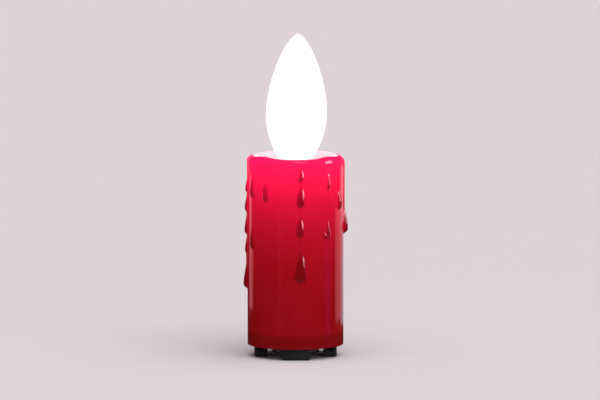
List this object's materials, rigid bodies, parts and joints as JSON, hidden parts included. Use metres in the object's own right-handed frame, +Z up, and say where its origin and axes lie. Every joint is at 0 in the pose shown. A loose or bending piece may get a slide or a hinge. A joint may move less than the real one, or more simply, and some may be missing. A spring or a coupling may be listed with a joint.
{
  "type": "flameless led candle",
  "caption": "Free-standing battery candle with a red translucent wax-drip shell, glowing opal flame lens and a footed base with twist-lock battery cap.",
  "frame": {"origin": "middle of the plane the feet rest on, on the candle's axis", "axes": "+Z up along the candle, front towards -Y, +X to the right seen from the front"},
  "size_m": [0.1092, 0.1073, 0.3364],
  "materials": {
    "red_plastic": "glossy translucent red, lit from inside near the top",
    "opal_plastic": "opal, glowing warm white",
    "white_plastic": "moulded white",
    "black_plastic": "fine moulded texture",
    "knob_plastic": "moulded light grey",
    "silicone": "satin grey silicone",
    "pad_rubber": "matt black rubber",
    "aluminium": "satin extruded",
    "white_board": "white solder mask",
    "green_board": "green solder mask",
    "led_yellow": "phosphor yellow",
    "chip_black": "moulded epoxy",
    "ferrite": "dark ferrite",
    "capacitor_can": "sleeved can",
    "header_plastic": "off-white nylon",
    "screw_steel": "zinc plated",
    "spring_steel": "nickel plated",
    "cell_jacket": "plain printed jacket, metal ends",
    "wire_red": "insulated wire",
    "wire_black": "insulated wire",
    "wire_white": "insulated wire"
  },
  "bodies": {
    "candle": {"base_housing": "black_plastic", "base_screws": "screw_steel", "battery_lower": "cell_jacket", "battery_tube": "white_plastic", "battery_upper": "cell_jacket", "board_capacitor": "capacitor_can", "board_screws": "screw_steel", "boost_coil": "ferrite", "candle_shell": "red_plastic", "cell_wire_minus": "wire_black", "cell_wire_plus": "wire_red", "chip_resistors": "chip_black", "column_screws": "screw_steel", "driver_board": "green_board", "flame_leds": "led_yellow", "flame_lens": "opal_plastic", "flame_nut": "white_plastic", "foot_pads": "pad_rubber", "lamp_mast": "white_plastic", "led_column": "aluminium", "led_strips": "white_board", "led_wire_minus": "wire_black", "led_wire_plus": "wire_red", "lens_seal": "silicone", "mast_screws": "screw_steel", "negative_strap": "spring_steel", "positive_contact": "spring_steel", "shell_seal": "silicone", "switch_body": "spring_steel", "switch_pins": "spring_steel", "switch_wire_a": "wire_white", "switch_wire_b": "wire_white", "timer_chip": "chip_black", "timer_crystal": "spring_steel", "wire_headers": "header_plastic"},
    "battery_cap": {"battery_cap": "black_plastic", "cap_seal": "silicone", "cap_contact": "spring_steel", "battery_spring": "spring_steel"},
    "switch_knob": {"switch_knob": "knob_plastic"}
  },
  "joints": [
    {"name": "cap_twist", "type": "hinge", "parent": "candle", "child": "battery_cap", "pos_m": [0, 0, 0.008], "axis": [0, 0, 1], "range_deg": [0, 35]},
    {"name": "switch_slide", "type": "slide", "parent": "candle", "child": "switch_knob", "axis": [0.7071, 0.7071, 0], "range_m": [0, 0.006]}
  ]
}
